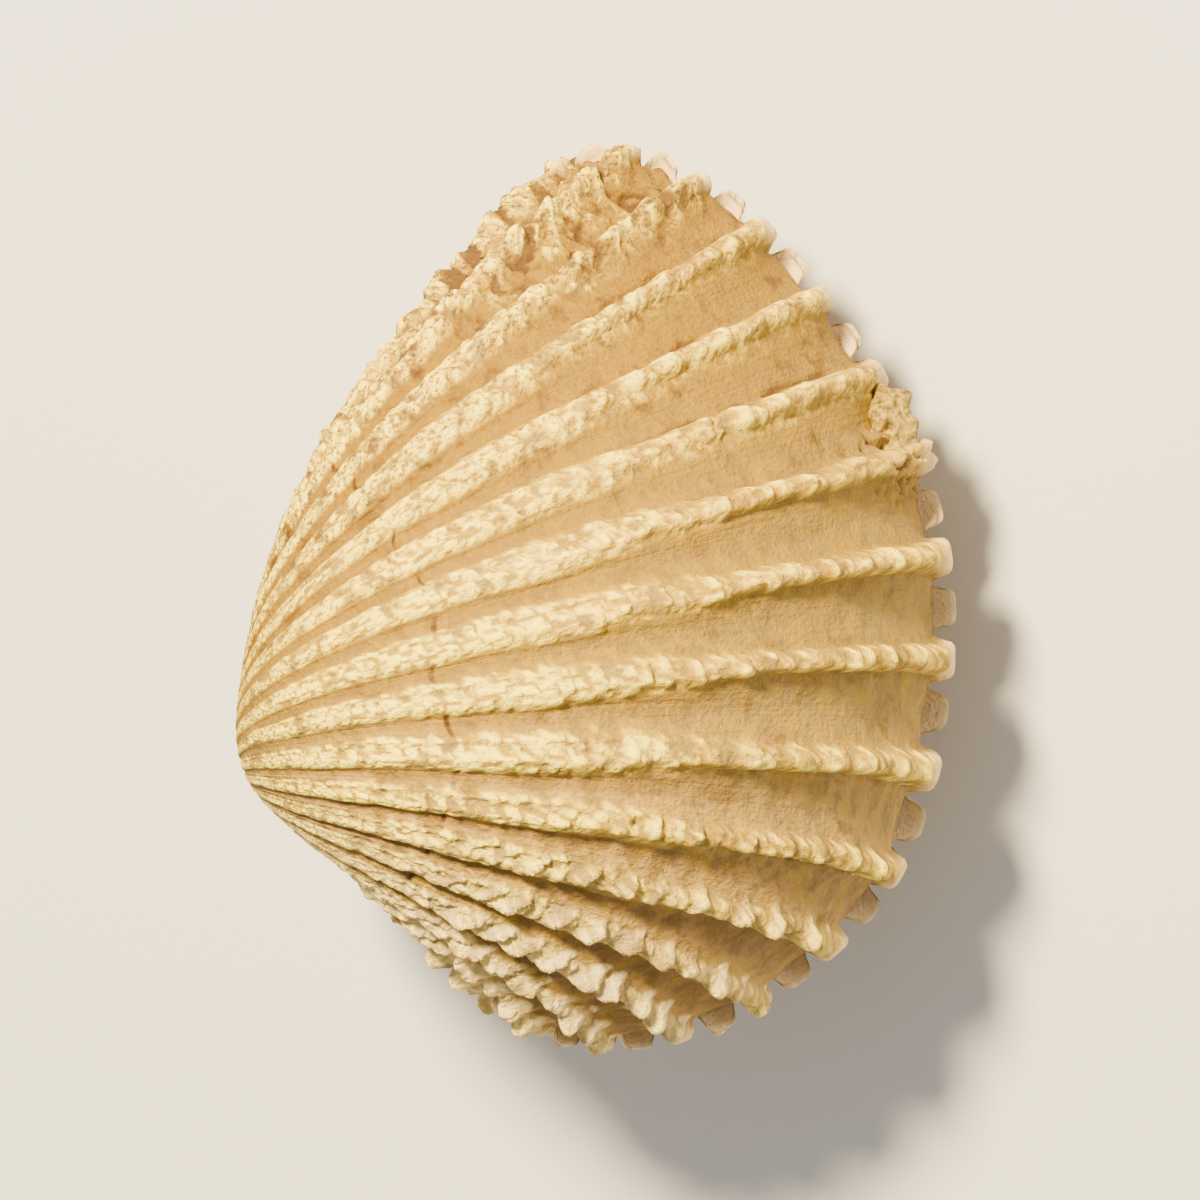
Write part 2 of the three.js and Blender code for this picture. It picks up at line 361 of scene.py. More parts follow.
# Growth rings: the age at each, and its depth in mm.
RINGS = ((0.2, 0.03), (0.43, 0.04), (0.69, 0.05), (0.86, 0.04), (1.22, 0.05), (1.5, 0.05), (1.8, 0.04))
RING_WIDTH = 0.012
STOP_CRACK, STOP_CRACK_DEPTH = 0.01, 0.2
STOP_STEP, STOP_STEP_DEPTH = (-0.01, 0.03), 0.14


def granules(place):
    """Worn grains, from about 0 in the cracks between them to 1 on top."""
    coarse, fine, patch = (rough(place, size, which) for which, size in enumerate(GRAIN_SIZES))
    return np.clip(np.abs(coarse) + FINER_GRAINS * np.abs(fine) + GRAIN_PATCHES * patch, 0, BRIGHTEST)


def growth_bars(r, phi, side):
    """Fine bars across the ribs, one for each spell of growth, from -1 to 1."""
    one = np.ones_like(r + phi)
    return rough(np.stack([BARS_PER_RADIAN * phi * one, BARS_PER_RIB * r * one, side * one], -1), 1.0)


def pits(place, r, phi):
    """Hollows that boring animals left at the back end, from 0 to 1."""
    where = smoothstep(*PIT_RIBS, from_back(r))
    for ages in PIT_AGES:
        where = where * smoothstep(*ages, phi)
    hollows = rough(place, PIT_SIZES[0], 2) + FINER_PITS * rough(place, PIT_SIZES[1])
    return smoothstep(*PIT_FROM, hollows) * where


def crust(place, r, phi):
    """Sand set on the rib beside the lump, from 0 to 1, and its clods."""
    sand = smoothstep(*CRUST_REACH, np.abs(r - CRUST_RIB)) * smoothstep(*CRUST_AGE, phi)
    clods = np.abs(rough(place, CLOD_SIZES[0])) + FINER_CLODS * np.abs(rough(place, CLOD_SIZES[1], 1))
    return sand, clods - CLODS_SUNK


def growth_stops(stop):
    """Depth of the crack and the step at the long growth stop, and of the rings at the short ones."""
    crack = STOP_CRACK_DEPTH * np.exp(-((stop - STOP_ANGLE) / STOP_CRACK) ** 2)
    step_down = STOP_STEP_DEPTH * smoothstep(STOP_ANGLE + STOP_STEP[0], STOP_ANGLE + STOP_STEP[1], stop)
    return crack + step_down + sum(deep * np.exp(-((stop - at) / RING_WIDTH) ** 2) for at, deep in RINGS)


print("grain sizes mm:", GRAIN_SIZES)

# %% [markdown]
# The outer face adds all of this up: ribs first, then lumps, then the marks of growth and wear. It also
# gives the numbers that the colours follow later, such as the height on the rib and the age, so that
# colour and relief always agree.

# %% Outer face
VALVES_APART = 20
# How far ribs wander, in steps between ribs, and the growth stop, in age, for a noise size in mm.
WANDER = ((2.6, 0.035), (0.7, 0.025))
STOP_WANDER = (1.1, 0.035)
WANDER_FROM = (0.0, 0.15)
RIB_HEIGHT = 0.23
DEEPER_AT_BACK = 0.45
DEEPER_BETWEEN, DEEPER_FROM = (6.5, 3.5), (0.0, 0.2)
BACK_END = (3.5, 1.0)
INSIDE_EDGE = (0.02, 0.06)
ON_CREST = (0.2, 0.65)
EDGE_ROUND = 0.01
EDGE_ROUND_DEPTH = 0.12
GRAIN_HEIGHT, GRAIN_MIDDLE = 0.07, 0.4
OLD_GRAIN_HEIGHT = 0.17
OLD_GRAINS_FROM = (0.15, 0.45)
BAR_HEIGHT, BAR_HEIGHT_AT_FRONT = 0.055, 0.1
BAR_TONE, BAR_TONE_AT_FRONT = 0.35, 0.7
BAR_IN_GAPS = 0.015
FRONT_END = (7.0, 9.5)
# Unevenness: its size in mm, which of the lattices it is taken from, and its height in mm.
UNEVEN = ((1.3, 0, 0.05), (0.45, 1, 0.02))
BACK_UNEVEN = (1.1, 2, 0.06)
NODULE = 0.6
NODULE_HEIGHT, NODULE_MIDDLE = 0.34, 0.25
NODULE_TONE, NODULE_PALE_FROM = 0.9, 0.15
NODULE_CREASE = (0.09, 0.0)
CREVICE_WIDTH = 0.025
# How much darker in colour the foot of each steep face, the creases between nodules and the gaps between
# sand clods are.
CREVICE_DARKENING, CREASE_DARKENING, CLOD_GAP_DARKENING = 0.9, 0.5, 0.8
CREVICE_BREAKS = (0.8, (-0.1, 0.35))
PIT_DEPTH = 0.16
CRUST_HEIGHT = 0.6
CLOD_GAPS = (0.12, 0.0)
HINGE_TONE = 0.45
LUMP_FULL = 0.2


def dark_places(plain, r, off, stop, phi, nodule, back, inside):
    """Where the shell is darker: the hollows, the foot of the steep faces, and the creases between
    nodules.
    """
    crevice = row(off, -STEEP_FACE[1], CREVICE_WIDTH, 1) * inside * (1 - old_at(stop))
    crevice = crevice * (1 - smoothstep(*STEEP_BETWEEN, from_back(r)))
    crevice = crevice * smoothstep(*CREVICE_BREAKS[1], rough(plain, CREVICE_BREAKS[0]))
    creases = back * smoothstep(*NODULE_CREASE, nodule)
    return np.maximum.reduce([pits(plain, r, phi), CREVICE_DARKENING * crevice, CREASE_DARKENING * creases])


def outer_face(side, r, phi):
    """Points of the outer face, with the numbers that its colours follow."""
    plain = shell_point(side, r, phi, np.zeros_like(r + phi)) + VALVES_APART * side
    wander = sum(share * rough(plain, grain) for grain, share in WANDER)
    stop = phi + STOP_WANDER[1] * rough(plain, STOP_WANDER[0], 1)
    number, off = rib_offset(side, r, wander * smoothstep(*WANDER_FROM, phi))
    profile = rib_profile(r, off, stop)
    deeper = smoothstep(*DEEPER_BETWEEN, from_back(r)) * smoothstep(*DEEPER_FROM, phi)
    height = RIB_HEIGHT * outward_at(r)[1] * (1 + DEEPER_AT_BACK * deeper)
    lumps = lump_relief(number, off, r, phi) * ribbed(r)

    inside = smoothstep(*INSIDE_EDGE, phi)
    back = smoothstep(*BACK_END, from_back(r))
    front = smoothstep(*FRONT_END, from_back(r))
    near_crest = smoothstep(*ON_CREST, profile) * inside
    grain = granules(plain)
    coarse = GRAIN_HEIGHT + (OLD_GRAIN_HEIGHT - GRAIN_HEIGHT) * np.maximum(
        smoothstep(*OLD_GRAINS_FROM, phi), back)
    bars = growth_bars(r, phi, side) * inside
    bar_height = BAR_HEIGHT + (BAR_HEIGHT_AT_FRONT - BAR_HEIGHT) * front
    bar_tone = BAR_TONE + (BAR_TONE_AT_FRONT - BAR_TONE) * front
    nodule = np.abs(rough(plain, NODULE, 1))
    relief = (coarse * (grain - GRAIN_MIDDLE) + bar_height * bars) * near_crest + BAR_IN_GAPS * bars
    relief = relief + sum(deep * rough(plain, size, which) for size, which, deep in UNEVEN)
    size, which, deep = BACK_UNEVEN
    relief = relief + back * (deep * rough(plain, size, which)
                             + NODULE_HEIGHT * (nodule - NODULE_MIDDLE))

    pit = dark_places(plain, r, off, stop, phi, nodule, back, inside)
    sand, clods = crust(plain, r, phi)
    sand = sand * (side > 0)
    relief = relief + CRUST_HEIGHT * sand * clods
    pit = np.maximum(pit, CLOD_GAP_DARKENING * sand * smoothstep(*CLOD_GAPS, clods))
    depth = height * (1 - profile) - lumps + growth_stops(stop) - relief
    depth = (depth + PIT_DEPTH * pit) * ribbed(r) + EDGE_ROUND_DEPTH * np.exp(-phi / EDGE_ROUND)
    tone = profile + NODULE_TONE * back * inside * (nodule - NODULE_PALE_FROM)
    tone = np.clip(tone, 0, BRIGHTEST)
    numbers = {
        "crest": HINGE_TONE + (tone - HINGE_TONE) * ribbed(r),
        "lump": np.clip(lumps / LUMP_FULL, 0, 1),
        "grain": grain + bar_tone * bars,
        "pit": pit * ribbed(r),
        "sand": sand * near_crest,
        "age": phi + 0 * r,
        "stop": (stop - STOP_ANGLE) * ribbed(r),
    }
    return shell_point(side, r, phi, depth), numbers


print("rib height mm at a middle rib:", (RIB_HEIGHT * outward_at(np.array([8.0]))[1]).round(2))

# %% [markdown]
# The mesh. A shell could be carved from a ball with a displacement map, but then its ribs wouldn't wind
# into the beak. So each valve is one closed skin of quads, made straight from the numbers: rows of the
# outer face from the edge to the beak, a few rows across the thickness of the edge, and a plain hollow
# inside. Columns are close together on the cords, and rows where the lumps are.

# %% Rows and columns
COLUMNS_ON_CORD = 15
COLUMNS_OFF_CORD = 9
CORD_REACH = 0.24
HINGE_COLUMNS = 40
YOUNG_ROWS = 178
OLD_ROWS = 34
YOUNG_UNTIL = 1.1
RIM_ROWS = 5
RIM_HOLLOW = 0.12
WALL = 1.0
HOLLOW_ROWS = (0.3, 0.7, 1.15)


def columns(side):
    """Rib numbers of the columns, close together on the cords."""
    on = np.linspace(-CORD_REACH, CORD_REACH, COLUMNS_ON_CORD)
    off = np.linspace(CORD_REACH, 1 - CORD_REACH, COLUMNS_OFF_CORD + 2)[1:-1]
    crest = 0 if side > 0 else 0.5
    ribs = (np.arange(LAST_RIB + 1)[:, None] + np.concatenate([on, off])[None, :]).ravel() + crest
    start, stop = ribs[0], ribs[-1]
    hinge = np.linspace(stop, ROUND + start, HINGE_COLUMNS + 2)[1:-1]
    return np.mod(np.concatenate([ribs, hinge]), ROUND)


def evenly_grown(first, last, count):
    """Ages of rows that lie evenly along the surface, though the shell was smaller when it was young."""
    ages = np.linspace(first, last, 400)
    grown = np.cumsum(growth_scale(ages))
    return np.interp(np.linspace(grown[0], grown[-1], count), grown, ages)


def valve_rows(side):
    """Rows of a valve from the beak over the edge to the inside, with the numbers for its colours."""
    r = columns(side)[None, :]
    ages = np.concatenate([evenly_grown(0, YOUNG_UNTIL, YOUNG_ROWS + 1)[:-1],
                           evenly_grown(YOUNG_UNTIL, BEAK_ANGLE, OLD_ROWS)])
    phi = ages[::-1, None]
    outer, numbers = outer_face(side, r, phi)
    edge = outer[-1]
    inner_depth = RIB_HEIGHT * outward_at(r)[1] * ribbed(r) + WALL
    inner = shell_point(side, r, np.zeros_like(r), inner_depth)[0]
    across = np.linspace(0, 1, RIM_ROWS + 1)[1:, None, None]
    rim = edge + (inner - edge) * across
    rim[..., 2] += side * RIM_HOLLOW * np.sin(np.pi * across[..., 0]) * ribbed(r)
    hollow_ages = np.array(HOLLOW_ROWS)[:, None]
    hollow = shell_point(side, r, hollow_ages, np.broadcast_to(inner_depth, (len(hollow_ages), r.size)))
    points = np.concatenate([outer, rim, hollow])
    pad = ((0, len(points) - len(outer)), (0, 0))
    numbers = {key: np.pad(values, pad) for key, values in numbers.items()}
    numbers["rib"] = from_back(r) + np.zeros(points.shape[:2])
    numbers["rim"] = np.pad(np.zeros(outer.shape[:2]), pad, constant_values=1)
    return points, numbers


print("columns:", len(columns(1)))

# %% [markdown]
# The pair lies tilted, as a real one settles on a table: turned about the v axis and then about the u
# axis, with the spiral's pole where the solids have it. Relief that would reach below the table is worn
# flat, as it is on the solid.

# %% From the growth frame to the table
REST_TURN_V = 21.5
REST_TURN_U = -8.8
POLE = Vector((-8.9732, -4.862, 13.0905))
LYING = (Matrix.Rotation(np.radians(REST_TURN_U), 3, "X")
         @ Matrix.Rotation(np.radians(REST_TURN_V), 3, "Y"))


def on_table(points):
    """Growth frame in mm to the shared frame in metres."""
    placed = points @ np.array(LYING).T + np.array(POLE)
    placed[..., 2] = np.maximum(placed[..., 2], 0)
    return placed * MM


def skin_object(name, points, numbers):
    """A closed object from rows of points, capped at both ends, with point attributes."""
    rows, count, _ = points.shape
    flat = on_table(points.reshape(-1, 3))
    caps = [flat[:count].mean(0), flat[-count:].mean(0)]
    at = np.arange(rows * count).reshape(rows, count)
    here, after = at[:-1], np.roll(at, -1, 1)[:-1]
    below, below_after = at[1:], np.roll(at, -1, 1)[1:]
    quads = np.stack([here, after, below_after, below], -1).reshape(-1, 4).tolist()
    first, last = rows * count, rows * count + 1
    fans = [(first, b, a) for a, b in zip(at[0], np.roll(at[0], -1))]
    fans += [(last, a, b) for a, b in zip(at[-1], np.roll(at[-1], -1))]
    mesh = bpy.data.meshes.new(name)
    mesh.from_pydata(np.vstack([flat, caps]).tolist(), [], quads + fans)
    for key, values in numbers.items():
        attribute = mesh.attributes.new(key, "FLOAT", "POINT")
        ends = [values[0].mean(), values[-1].mean()]
        attribute.data.foreach_set("value", np.append(values.ravel(), ends).astype(np.float32))
    mesh.polygons.foreach_set("use_smooth", [True] * len(mesh.polygons))
    made = bpy.data.objects.new(name, mesh)
    bpy.context.collection.objects.link(made)
    return made


def grow_valve(name, side):
    points, numbers = valve_rows(side)
    made = skin_object(name, points, numbers)
    if side < 0:
        made.data.flip_normals()
    print(name, "faces:", len(made.data.polygons), "mm:", [round(d / MM, 1) for d in made.dimensions])
    return made


left_valve = grow_valve("left_valve_skin", 1)
right_valve = grow_valve("right_valve_skin", -1)

# %% [markdown]
# The ligament: a strip of dried horny protein in the groove behind the beaks. It is drawn as a bar that
# thins to both ends, wrinkled as dried horn is, and it is deep enough to touch both valves.

# %% Ligament
LIGAMENT_FROM, LIGAMENT_TO = 19.05, 20.5
LIGAMENT_STAND_OFF = 0.4
LIGAMENT_HALF_THICK = 0.42
LIGAMENT_HALF_WIDE = 0.62
LIGAMENT_TAPER = 0.4
LIGAMENT_RINGS, LIGAMENT_SIDES = 90, 28
# Wrinkles: how crowded they are along the strip, their size in mm, lattice and height in mm.
WRINKLES = ((1, 0.5, 0, 0.05), (3, 0.35, 1, 0.04))
ENDS = (0.01, 0.99)


def ligament_rows():
    along = np.linspace(*ENDS, LIGAMENT_RINGS)[:, None]
    turn = np.linspace(0, 2 * np.pi, LIGAMENT_SIDES, endpoint=False)[None, :]
    r = LIGAMENT_FROM + (LIGAMENT_TO - LIGAMENT_FROM) * along + 0 * turn
    taper = (4 * along * (1 - along)) ** LIGAMENT_TAPER
    out, _ = outward_at(r)
    off = LIGAMENT_STAND_OFF + LIGAMENT_HALF_THICK * taper * np.cos(turn)
    w = LIGAMENT_HALF_WIDE * taper * np.sin(turn)
    points = np.concatenate([outline_at(r) + out * off[..., None], w[..., None]], -1)
    bumps = sum(deep * rough(points * [1, crowded, 1], size, which)
                for crowded, size, which, deep in WRINKLES)
    points[..., :2] += out * bumps[..., None]
    return points


ligament = skin_object("ligament_strip", ligament_rows(), {})
print("ligament mm:", [round(d / MM, 1) for d in ligament.dimensions])

# %% [markdown]
# A lump of set sand and lime sits in one gap at the edge, where it filled the space between two ribs.
# It could be part of the valve, but it is another stuff and has sharper bumps, so it is a piece of its
# own: a ball pushed out of shape by noise at three grain sizes, sunk most of the way into the shell.

# %% Sand lump
SAND_AT = (19.3, 10.85, 0.9)
SAND_SIZE = (1.0, 1.8, 0.75)
# Bumps: size in mm, lattice and height in mm.
SAND_BUMPS = ((0.9, 0, 0.4), (0.45, 1, 0.4), (0.2, 2, 0.15))
POLE_GAP = 0.02
SAND_RINGS, SAND_SIDES = 70, 90


def sand_rows():
    tilt = np.linspace(POLE_GAP, np.pi - POLE_GAP, SAND_RINGS)[:, None]
    turn = np.linspace(0, 2 * np.pi, SAND_SIDES, endpoint=False)[None, :]
    ball = np.stack([np.sin(tilt) * np.cos(turn), np.sin(tilt) * np.sin(turn),
                     np.cos(tilt) + 0 * turn], -1)
    points = ball * SAND_SIZE + SAND_AT
    bumps = sum(deep * rough(points, size, which) for size, which, deep in SAND_BUMPS)
    return points + ball * bumps[..., None]


sand = skin_object("sand_lump", sand_rows(), {})
print("sand lump mm:", [round(d / MM, 1) for d in sand.dimensions])

# %% [markdown]
# Materials. Hex colours are sRGB, as a paint chart gives them, and one function turns them to the
# linear values that the shader works in. One more function adds a node with its settings and links.

# %% Colour and node helpers


def linear(hex_colour):
    srgb = [int(hex_colour[i:i + 2], 16) / 255 for i in (1, 3, 5)]
    return [c / 12.92 if c <= 0.04045 else ((c + 0.055) / 1.055) ** 2.4 for c in srgb] + [1.0]


def add_node(tree, kind, sockets=None, **settings):
    """Adds a node. A socket takes a value, or another node's output to link to."""
    made = tree.nodes.new(kind)
    for key, value in settings.items():
        setattr(made, key, value)
    for socket, value in (sockets or {}).items():
        if isinstance(value, bpy.types.NodeSocket):
            tree.links.new(value, made.inputs[socket])
        else:
            made.inputs[socket].default_value = value
    return made


def new_material(name):
    material = bpy.data.materials.new(name)
    material.use_nodes = True
    return material, material.node_tree, material.node_tree.nodes["Principled BSDF"]


print("cream in linear:", [round(c, 3) for c in linear("#F2DFB4")])

# %% [markdown]
# Weathered shell is aragonite, a chalky form of lime, laid down in fine layers and left dull by sand and
# sun. It gives the eye a soft, almost glossless surface: cream where the ribs are worn, tan on their
# sides, brown in patches of dirt and in the hollows, with a violet-brown tint in the gaps at the front
# end and a rosy white where the rib ends are new. Some layers darken the relief: ochre painted shade
# between the back ribs, painted shade in the groove bottoms at the front end on top of the violet tint,
# and a darker thin line at the foot of the steep faces and in the creases between nodules. The mesh
# carries the height on the rib, the age and the rib number, so the colours follow the real relief. They
# are laid on one after the other, as a painter glazes, and the list says for each layer its colour, its
# strength
# and where it shows: the name of a number, where the layer starts and where it is full.

# %% Layers of colour on the shell
SHELL_HEXES = {
    "gap": "#927A48", "old gap": "#8A6C2E", "side": "#AA8732", "pale": "#B69442", "crest": "#DAB252",
    "bar": "#FFE96E", "bead": "#F3DA9E", "violet tint and painted shade": "#7A5440", "olive": "#856A30", "dirt": "#5E3A12",
    "new": "#F2D4A2", "front side": "#C49E5E", "sand": "#CBAA58", "ochre painted shade": "#8E6A16",
}
LOW_DOWN = ("crest", 0.5, 0.2)
HIGH_UP = ("crest", 0.3, 0.6)
IN_GROOVE = ("crest", 0.22, 0.05)
AT_BACK = ("rib", 6.5, 1.5)
AT_FRONT = ("rib", 8.5, 12.0)
SHELL_LAYERS = (
    ("old gap", 0.85, ("age", 0.2, 0.7)),
    ("side", 1.0, ("ragged", 0.42, 0.85)),
    ("side", 0.3, ("cloud", 0.45, 0.7)),
    ("pale", 0.4, ("lines", 0.5, 0.62), LOW_DOWN),
    ("gap", 0.4, ("lines", 0.47, 0.34), LOW_DOWN),
    ("front side", 0.7, ("ragged", 0.3, 0.5), ("rib", 8.0, 10.5)),
    # Partly the violet-brown tint of the shell, partly painted shade in the groove bottoms under the
    # front ribs.
    ("violet tint and painted shade", 0.6, AT_FRONT, IN_GROOVE),
    ("olive", 0.48, ("cloud", 0.5, 0.6), AT_FRONT, IN_GROOVE),
    ("crest", 1.0, ("ragged", 0.85, 1.25)),
    ("bar", 0.85, ("ragged", 0.72, 1.05), ("age", 0.5, 0.9)),
    ("bar", 0.9, ("lump", 0.4, 0.65), ("rib", 12.5, 10.0)),
    ("bead", 0.9, ("lump", 0.2, 0.6), ("rib", 10.0, 12.5)),
    ("bar", 0.7, ("grains", 0.32, 0.12), HIGH_UP),
    ("side", 0.6, ("mottle", 0.52, 0.62), LOW_DOWN),
    ("old gap", 0.6, ("mottle", 0.47, 0.38), LOW_DOWN),
    ("side", 0.6, ("grain", 0.5, 0.2), HIGH_UP),
    ("bar", 0.6, ("grain", 0.6, 0.9), HIGH_UP),
    ("side", 0.9, ("grains", 0.4, 0.6), HIGH_UP),
    ("gap", 0.7, ("grain", 0.25, 0.08), HIGH_UP),
    ("gap", 0.6, ("grit", 0.42, 0.32), HIGH_UP),
    ("bead", 0.5, ("rib", 10.5, 13.5), HIGH_UP),
    ("olive", 0.5, ("mottle", 0.48, 0.38), ("rib", 9.5, 13.0)),
    ("dirt", 0.7, ("grit", 0.48, 0.38), AT_BACK),
    ("sand", 0.7, ("sand", 0.2, 0.6)),
    # Painted shade: darkens the low parts between the back ribs, the side that the light leaves in shade,
    # with an ochre tint.
    ("ochre painted shade", 0.75, ("rib", 9.0, 2.0), ("crest", 0.7, 0.3)),
    ("dirt", 0.4, ("mottle", 0.4, 0.28)),
    ("dirt", 0.8, ("mottle", 0.46, 0.34), AT_BACK),
    # The pit number also holds the foot of the steep faces, the creases between nodules and the gaps
    # between clods, so this layer darkens them too.
    ("dirt", 0.9, ("pit", 0.1, 0.7)),
    ("dirt", 1.0, ("from stop", 0.009, 0.004), ("crest", 0.7, 0.4), ("mottle", 0.38, 0.55)),
    ("pale", 0.35, ("grit", 0.62, 0.72)),
    ("new", 0.75, ("age", 0.05, 0.02), ("crest", 0.35, 0.8)),
    ("new", 0.8, ("rim", 0.0, 1.0)),
)
SHELL_BUMPS = (
    (-0.7, "grains", HIGH_UP), (0.5, "lines", LOW_DOWN), (0.3, "threads", LOW_DOWN), (0.8, "grit"),
)
print("layers of colour:", len(SHELL_LAYERS))

# %% [markdown]
# The patterns that the layers use come in two kinds. Grit, mottling and clouds are noise in space, with
# grains of a real size: grit of 0.16 mm, dirt in patches of about 1 mm, and clouds of 4 mm. Growth lines,
# threads and grains are drawn along the age and the rib number, so they bend with the shell. Real growth
# lines are finer than the render can show, so there are 46 for each radian of growth here.

# %% Chalky aragonite
ARAGONITE_IOR = 1.6
CHALK_ROUGHNESS = 0.8
SPECKS = {"grit": (0.16 * MM, 3), "mottle": (0.9 * MM, 5), "cloud": (4.0 * MM, 3)}
STREAKS = {"lines": (46.0, 4.0, 0), "threads": (3.0, 24.0, 0)}
GRAIN = 0.28 * MM
GRAIN_STRETCH = (55.0, 9.0, 0.0)
GRAIN_IN_SPACE = 0.35
RAGGED = 0.35
RELIEF = 0.11 * MM


def shell_patterns(tree):
    """Outputs of the patterns and of the numbers on the mesh, by name."""
    place = add_node(tree, "ShaderNodeTexCoord").outputs["Object"]
    found = {key: add_node(tree, "ShaderNodeAttribute", attribute_name=key).outputs["Fac"]
             for key in ("crest", "lump", "grain", "pit", "sand", "age", "stop", "rib", "rim")}
    for key, (size, detail) in SPECKS.items():
        found[key] = add_node(tree, "ShaderNodeTexNoise", {
            "Vector": place, "Scale": 1 / size, "Detail": detail, "Roughness": 0.6}).outputs["Fac"]
    along = add_node(tree, "ShaderNodeCombineXYZ", {0: found["age"], 1: found["rib"]}).outputs[0]
    for key, stretch in STREAKS.items():
        stretched = add_node(tree, "ShaderNodeVectorMath", {0: along, 1: stretch}, operation="MULTIPLY")
        found[key] = add_node(tree, "ShaderNodeTexNoise", {
            "Vector": stretched.outputs[0], "Scale": 1.0, "Detail": 2.0}).outputs["Fac"]
    blocks = add_node(tree, "ShaderNodeVectorMath", {0: along, 1: GRAIN_STRETCH}, operation="MULTIPLY")
    blocks = add_node(tree, "ShaderNodeVectorMath",
                      {0: place, 1: [GRAIN_IN_SPACE / GRAIN] * 3, 2: blocks.outputs[0]},
                      operation="MULTIPLY_ADD")
    found["grains"] = add_node(tree, "ShaderNodeTexVoronoi", {"Vector": blocks.outputs[0], "Scale": 1.0},
                               distance="CHEBYCHEV").outputs[0]
    found["ragged"] = found["crest"]
    for key in ("mottle", "grain"):
        found["ragged"] = add_node(tree, "ShaderNodeMath", {0: found[key], 1: RAGGED, 2: found["ragged"]},
                                   operation="MULTIPLY_ADD").outputs[0]
    found["from stop"] = add_node(tree, "ShaderNodeMath", {0: found["stop"]},
                                  operation="ABSOLUTE").outputs[0]
    return found


def strength_where(tree, found, strength, places):
    """A strength that fades to 0 outside the places that the layer shows in."""
    for key, start, full in places:
        fade = add_node(tree, "ShaderNodeMapRange", {0: found[key], 1: start, 2: full})
        strength = add_node(tree, "ShaderNodeMath", {0: strength, 1: fade.outputs[0]},
                            operation="MULTIPLY").outputs[0]
    return strength


def chalky_aragonite(name, hexes, layers, bumps):
    material, tree, surface = new_material(name)
    found = shell_patterns(tree)
    colour = linear(hexes["gap"])
    for key, strength, *places in layers:
        share = strength_where(tree, found, strength, places)
        colour = add_node(tree, "ShaderNodeMix", {0: share, 6: colour, 7: linear(hexes[key])},
                          data_type="RGBA").outputs[2]
    tree.links.new(colour, surface.inputs["Base Color"])
    height = 0.0
    for strength, pattern, *places in bumps:
        share = strength_where(tree, found, strength, places)
        height = add_node(tree, "ShaderNodeMath", {0: found[pattern], 1: share, 2: height},
                          operation="MULTIPLY_ADD").outputs[0]
    bump = add_node(tree, "ShaderNodeBump", {"Strength": 1.0, "Distance": RELIEF, "Height": height})
    tree.links.new(bump.outputs[0], surface.inputs["Normal"])
    surface.inputs["Roughness"].default_value = CHALK_ROUGHNESS
    surface.inputs["IOR"].default_value = ARAGONITE_IOR
    print(name, "nodes:", len(tree.nodes))
    return material


shell_finish = chalky_aragonite("weathered_aragonite", SHELL_HEXES, SHELL_LAYERS, SHELL_BUMPS)

# %% [markdown]
# The ligament is conchiolin, the horny protein of a shell, dried brown and wrinkled. It keeps a faint
# gloss, so it is smoother than the lime. The lump is sand set in lime: dull, yellow and grainy.

# %% Dried conchiolin and set sand
DARK_BELOW, LIGHT_ABOVE = 0.35, 0.62


def grainy(name, light_hex, dark_hex, grain, roughness, relief):
    material, tree, surface = new_material(name)
    place = add_node(tree, "ShaderNodeTexCoord").outputs["Object"]
    noise = add_node(tree, "ShaderNodeTexNoise",
                     {"Vector": place, "Scale": 1 / grain, "Detail": 5, "Roughness": 0.65}).outputs["Fac"]
    light = add_node(tree, "ShaderNodeMapRange", {0: noise, 1: DARK_BELOW, 2: LIGHT_ABOVE}).outputs[0]
    colour = add_node(tree, "ShaderNodeMix", {0: light, 6: linear(dark_hex), 7: linear(light_hex)},
                      data_type="RGBA").outputs[2]
    tree.links.new(colour, surface.inputs["Base Color"])
    bump = add_node(tree, "ShaderNodeBump", {"Strength": 0.8, "Distance": relief, "Height": noise})
    tree.links.new(bump.outputs[0], surface.inputs["Normal"])
    surface.inputs["Roughness"].default_value = roughness
    print(name, "grain mm:", grain / MM)
    return material


ligament_finish = grainy("dried_conchiolin", "#6A4424", "#2C190C", 0.4 * MM, 0.5, 0.06 * MM)
sand_finish = grainy("sand_set_in_lime", "#C0A45C", "#6A562C", 0.25 * MM, 0.9, 0.14 * MM)

# %% [markdown]
# Each piece gets its finish and its place in the part. The shell has no joints, so everything rides on
# the one body, root. The two skins and the strip take the place of the three solids. The sand lump
# replaces nothing: it is only seen.

# %% Dress the pieces
for piece, finish, slot, node in (
        (left_valve, shell_finish, "left_shell", "left_valve"),
        (right_valve, shell_finish, "right_shell", "right_valve"),
        (ligament, ligament_finish, "dried_ligament", "ligament"),
        (sand, sand_finish, "left_shell", None)):
    piece.data.materials.append(finish)
    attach(piece, "root")
    if node:
        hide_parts(node)
print("pieces dressed")

# %% [markdown]
# The stage: a plain pale floor, a soft light from the shell's back end, which lights one side of every
# rib and leaves the other in shade, a weak one from the toothed edge, and a bright even sky to fill. The
# camera looks square to the plane where the valves meet, from far enough that the ribs nearest to it
# aren't stretched. The picture keeps its strong colours with a little more contrast than usual.

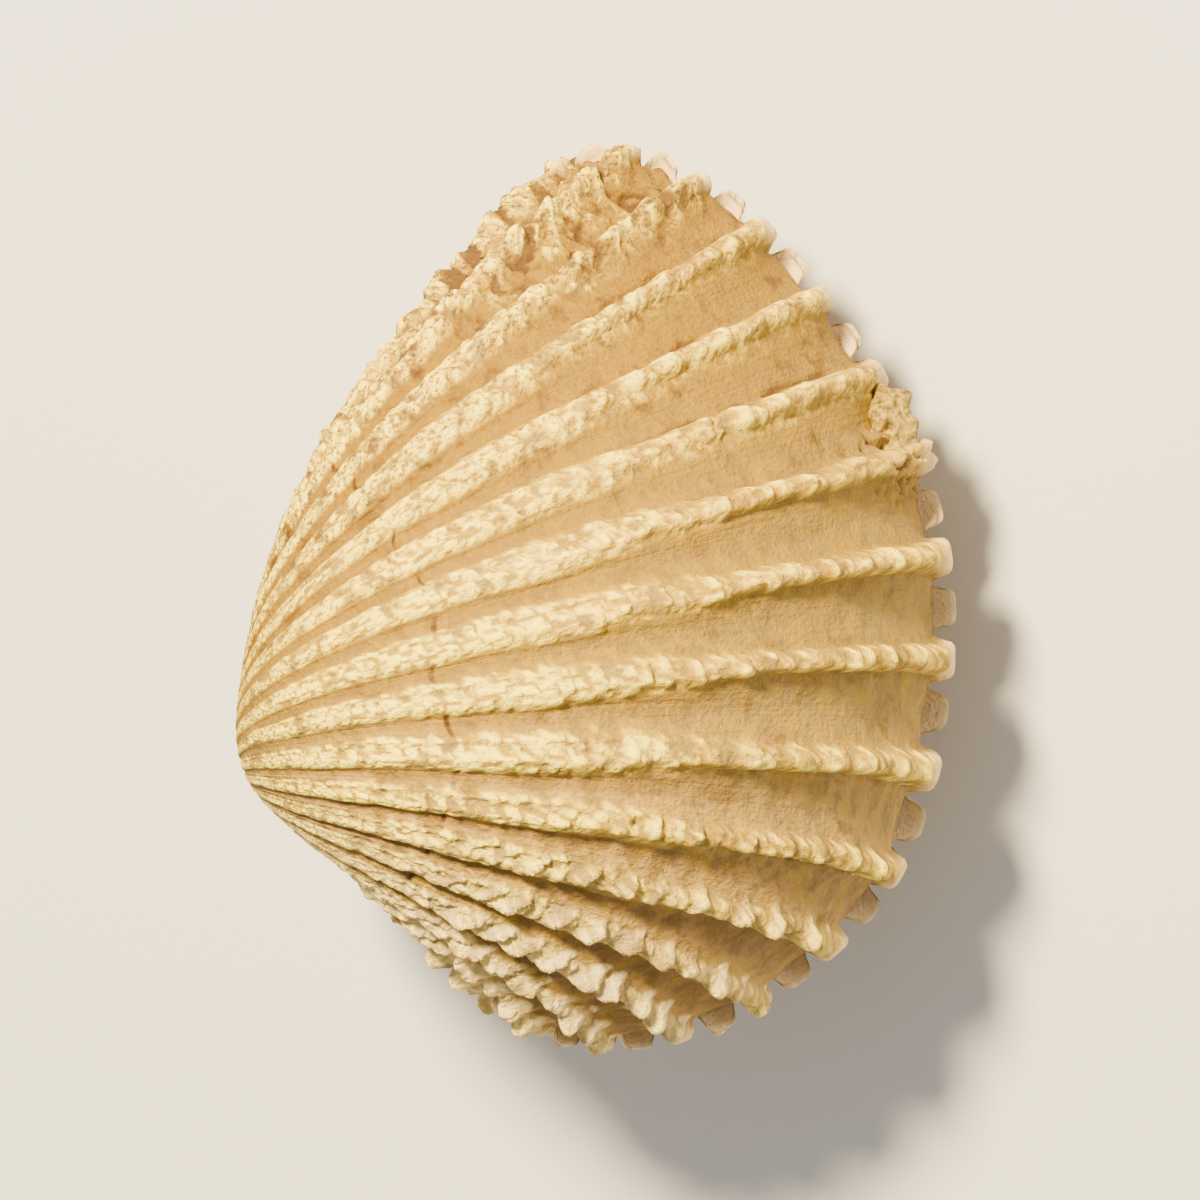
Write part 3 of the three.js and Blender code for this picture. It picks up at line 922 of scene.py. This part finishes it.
# %% Floor
FLOOR_SIZE = 1.2
half = FLOOR_SIZE / 2
floor_mesh = bpy.data.meshes.new("floor")
floor_mesh.from_pydata([(-half, -half, 0), (half, -half, 0), (half, half, 0), (-half, half, 0)], [],
                       [(0, 1, 2, 3)])
floor = bpy.data.objects.new("floor", floor_mesh)
bpy.context.collection.objects.link(floor)
paper, _, surface = new_material("matt_paper")
surface.inputs["Base Color"].default_value = linear("#DAD8D3")
surface.inputs["Roughness"].default_value = 0.9
floor.data.materials.append(paper)
print("floor m:", FLOOR_SIZE)

# %% Camera
FRAME_MM = 39.17
VIEW_CENTRE = (10.18, 5.52, 0.0)
CAMERA_DISTANCE = 0.42
SENSOR = 36.0
target = (LYING @ Vector(VIEW_CENTRE) + POLE) * MM
camera_data = bpy.data.cameras.new("camera")
camera_data.sensor_width = SENSOR
camera_data.lens = SENSOR * CAMERA_DISTANCE / (FRAME_MM * MM)
camera_data.clip_start = 0.01
camera = bpy.data.objects.new("camera", camera_data)
camera.matrix_world = LYING.to_4x4()
camera.location = target + LYING @ Vector((0, 0, CAMERA_DISTANCE))
bpy.context.collection.objects.link(camera)
bpy.context.scene.camera = camera
bpy.context.scene.view_settings.look = "AgX - Medium High Contrast"
print("camera lens mm:", round(camera_data.lens))

# %% Lights
LIGHTS = {
    #       direction, distance in m, size in m, watts, colour
    "key": ((-0.55, 0.6, 1.15), 0.3, 0.06, 2.95, "#FFEEC6"),
    "rim": ((0.9, 0.1, 0.5), 0.4, 0.25, 0.55, "#F4F4FF"),
}
SKY_STRENGTH = 0.55
for name, (direction, distance, size, power, tint) in LIGHTS.items():
    light = bpy.data.lights.new(name, "AREA")
    light.shape = "DISK"
    light.size = size
    light.energy = power
    light.color = linear(tint)[:3]
    lamp = bpy.data.objects.new(name, light)
    aim = LYING @ Vector(direction).normalized()
    lamp.location = target + aim * distance
    lamp.rotation_euler = aim.to_track_quat("Z", "Y").to_euler()
    bpy.context.collection.objects.link(lamp)
sky = bpy.data.worlds.new("sky")
sky.use_nodes = True
sky.node_tree.nodes["Background"].inputs["Color"].default_value = linear("#F2F0EC")
sky.node_tree.nodes["Background"].inputs["Strength"].default_value = SKY_STRENGTH
bpy.context.scene.world = sky
print("lights:", list(LIGHTS))
